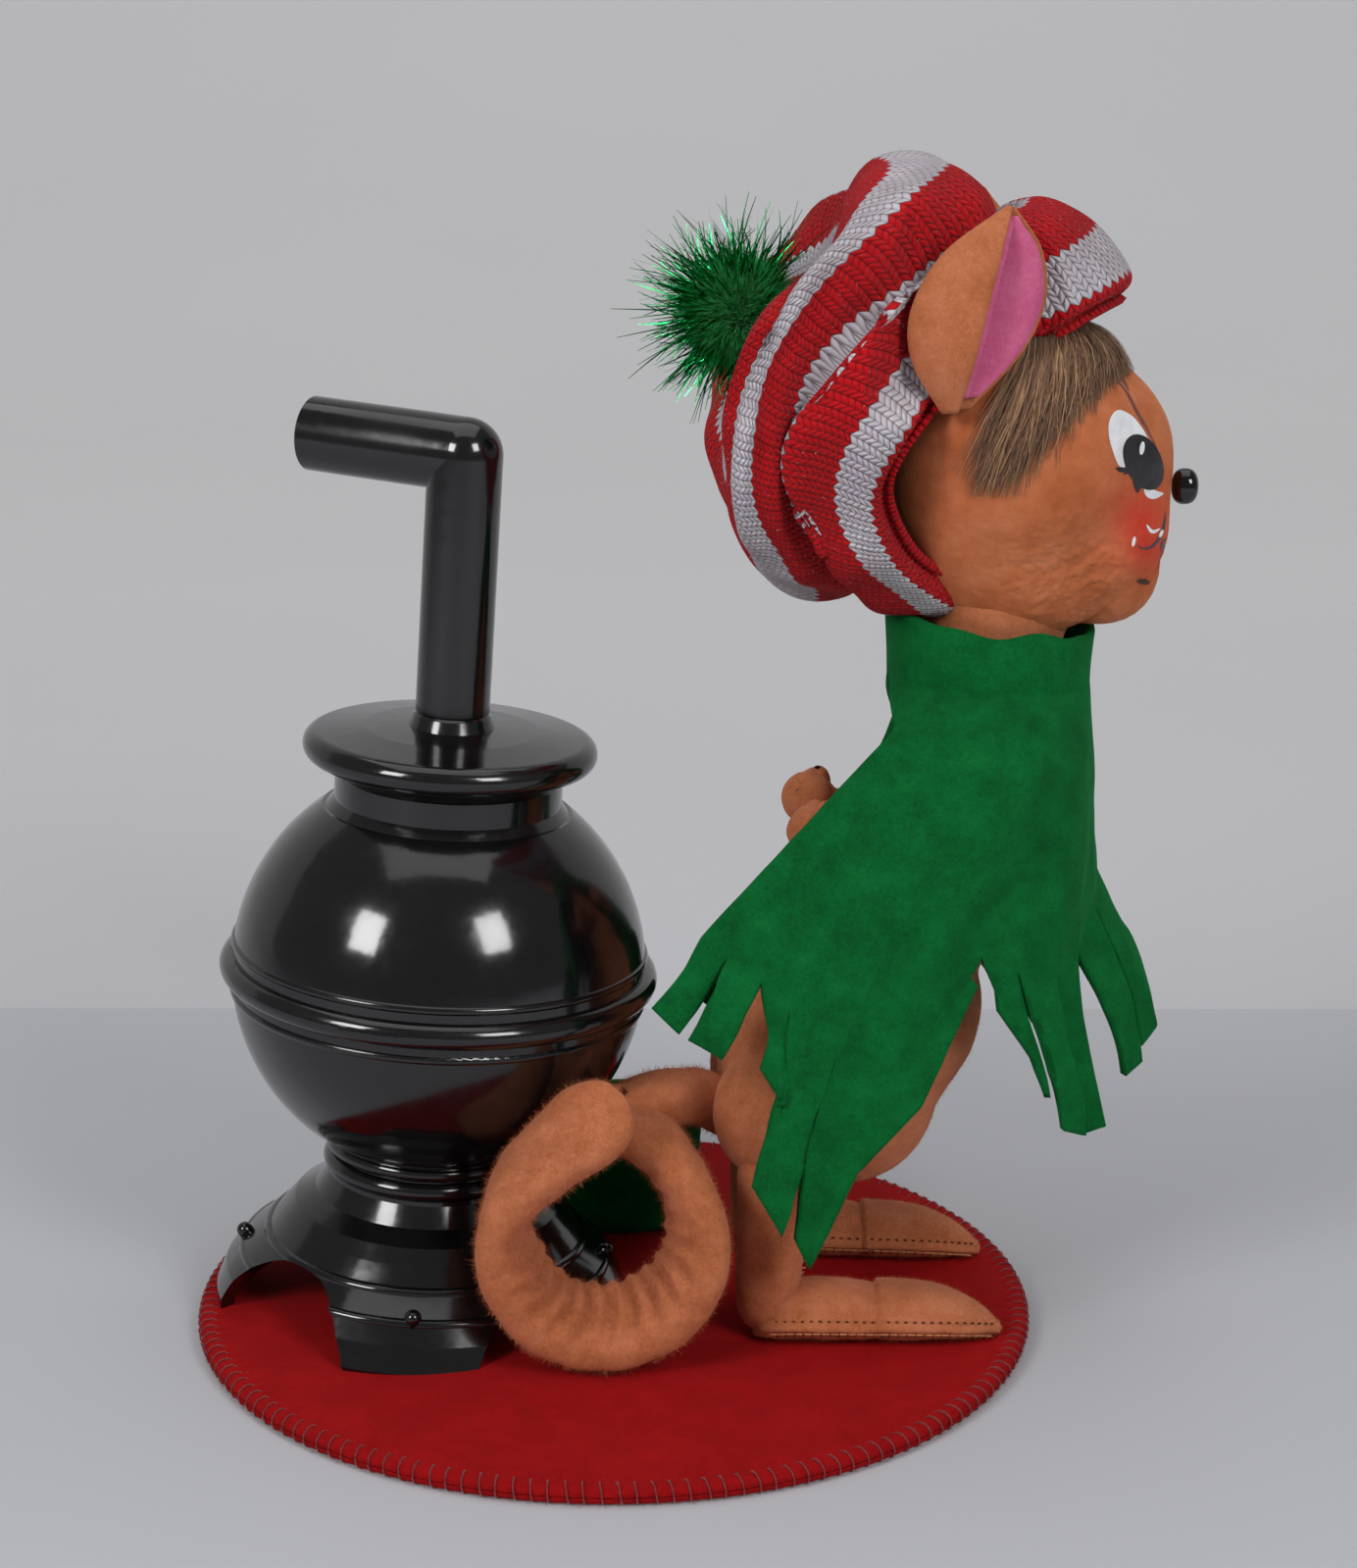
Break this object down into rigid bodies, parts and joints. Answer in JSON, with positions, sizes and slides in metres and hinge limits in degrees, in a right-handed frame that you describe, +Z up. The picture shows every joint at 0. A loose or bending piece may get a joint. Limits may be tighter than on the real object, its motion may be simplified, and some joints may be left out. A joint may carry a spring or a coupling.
{
  "type": "posable felt mouse with toy stove",
  "caption": "Posable wired felt mouse in a fringed poncho and striped knit beret, warming itself at a glossy black pot-bellied toy stove on a round felt-covered base.",
  "frame": {"origin": "centre of the round base's flat underside", "axes": "+Z up out of the base, +X the way the mouse faces, stove towards -X, tail curled towards -Y"},
  "size_m": [0.1743, 0.151, 0.2078],
  "materials": {
    "card": "plain grey-brown card",
    "red_felt": "wool-mix felt",
    "red_thread": "stranded cotton",
    "black_plastic": "glossy moulded plastic",
    "black_thread": "waxed thread",
    "green_felt": "wool-mix felt",
    "tan_felt": "brushed orange-tan felt",
    "pink_felt": "pink felt",
    "steel_wire": "soft steel wire",
    "wadding": "polyester wadding",
    "black_bead": "polished bead",
    "fur": "long pile fur",
    "striped_knit": "fine jersey knit in red and white stripes",
    "green_fluff": "cut pompom yarn",
    "green_tinsel": "green metallic tinsel"
  },
  "bodies": {
    "base": {"base_board": "card", "base_felt_top": "red_felt", "base_felt_bottom": "red_felt", "base_edge_thread": "red_thread", "stove_pedestal": "black_plastic", "stove_belly_lower": "black_plastic", "stove_belly_upper": "black_plastic", "stove_lid": "black_plastic", "stove_foot_ties": "black_thread", "felt_sack": "green_felt", "near_foot": "tan_felt", "far_foot": "tan_felt", "near_foot_wire": "steel_wire", "far_foot_wire": "steel_wire"},
    "pipe": {"stove_pipe": "black_plastic"},
    "legs": {"near_leg": "tan_felt", "far_leg": "tan_felt", "near_leg_wire": "steel_wire", "far_leg_wire": "steel_wire"},
    "torso": {"torso_skin": "tan_felt", "torso_stuffing": "wadding", "spine_wire": "steel_wire", "neck_wrap": "tan_felt", "poncho": "green_felt"},
    "near_arm": {"near_arm": "tan_felt", "near_arm_wire": "steel_wire"},
    "far_arm": {"far_arm": "tan_felt", "far_arm_wire": "steel_wire"},
    "tail": {"tail": "tan_felt", "tail_wire": "steel_wire"},
    "head": {"head_skin": "tan_felt", "head_stuffing": "wadding", "nose_bead": "black_bead", "near_ear": "tan_felt", "far_ear": "tan_felt", "near_ear_lining": "pink_felt", "far_ear_lining": "pink_felt", "hair_tuft": "fur", "hat": "striped_knit", "pompom": "green_fluff", "pompom_tinsel": "green_tinsel"}
  },
  "joints": [
    {"name": "pipe_swivel", "type": "hinge", "parent": "base", "child": "pipe", "pos_m": [-0.02838, 0.0025, 0.11182], "axis": [0.0628, 0, 0.998], "continuous": true},
    {"name": "ankle_lean", "type": "hinge", "parent": "base", "child": "legs", "pos_m": [0.027, 0, 0.0097], "axis": [0, 1, 0], "range_deg": [0, 8]},
    {"name": "hip_bend", "type": "hinge", "parent": "legs", "child": "torso", "pos_m": [0.028, 0, 0.0327], "axis": [0, 1, 0], "range_deg": [0, 7]},
    {"name": "head_turn", "type": "hinge", "parent": "torso", "child": "head", "pos_m": [0.065, 0, 0.1275], "axis": [0, 0, 1], "range_deg": [-60, 60]},
    {"name": "near_shoulder", "type": "hinge", "parent": "torso", "child": "near_arm", "pos_m": [0.06, -0.018, 0.104], "axis": [0, 1, 0], "range_deg": [-8, 8]},
    {"name": "far_shoulder", "type": "hinge", "parent": "torso", "child": "far_arm", "pos_m": [0.06, 0.018, 0.104], "axis": [0, 1, 0], "range_deg": [-8, 8]},
    {"name": "tail_swing", "type": "hinge", "parent": "torso", "child": "tail", "pos_m": [0.01, -0.014, 0.046], "axis": [-1, 0, 0], "range_deg": [0, 15]}
  ]
}
